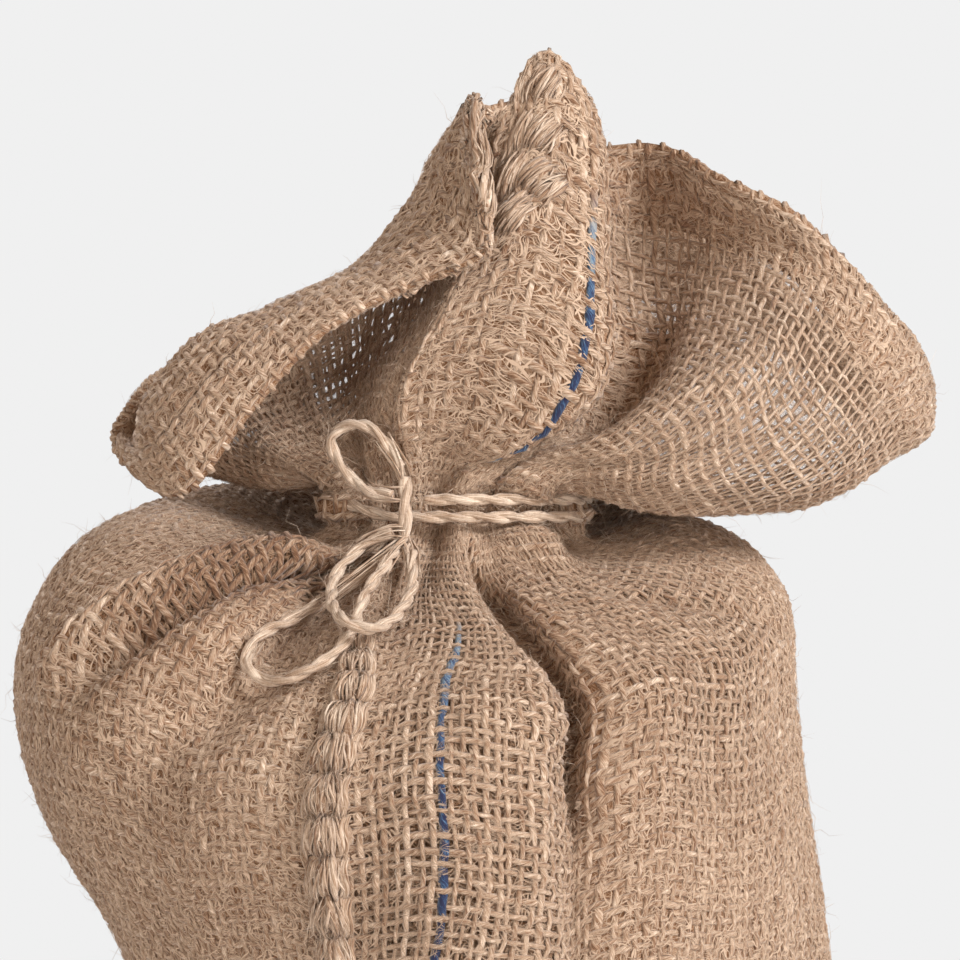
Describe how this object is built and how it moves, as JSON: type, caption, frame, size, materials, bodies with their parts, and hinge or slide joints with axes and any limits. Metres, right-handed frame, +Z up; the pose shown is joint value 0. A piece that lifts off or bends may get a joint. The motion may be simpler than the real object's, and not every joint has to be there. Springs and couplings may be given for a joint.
{
  "type": "hessian sack",
  "caption": "Small plain-weave jute hessian sack standing on its flat base, gathered at the neck with a jute twine bow and flaring into a drooping hemmed mouth.",
  "frame": {"origin": "on the level underside of the base, below the middle of the sack", "axes": "+Z up; the front, with the side seam and the bow, faces -Y; +X to the right seen from the front"},
  "size_m": [0.1721, 0.1279, 0.2564],
  "materials": {
    "hessian": "coarse plain-weave jute, warm tan, matt and slightly hairy",
    "jute_twine": "two-ply jute twine, pale straw, matt and hairy"
  },
  "bodies": {
    "root": {"sack_cloth": "hessian", "tie_band": "jute_twine", "tie_knot": "jute_twine", "bow_loop_up": "jute_twine", "bow_loop_down": "jute_twine", "bow_loop_left": "jute_twine"}
  },
  "joints": []
}
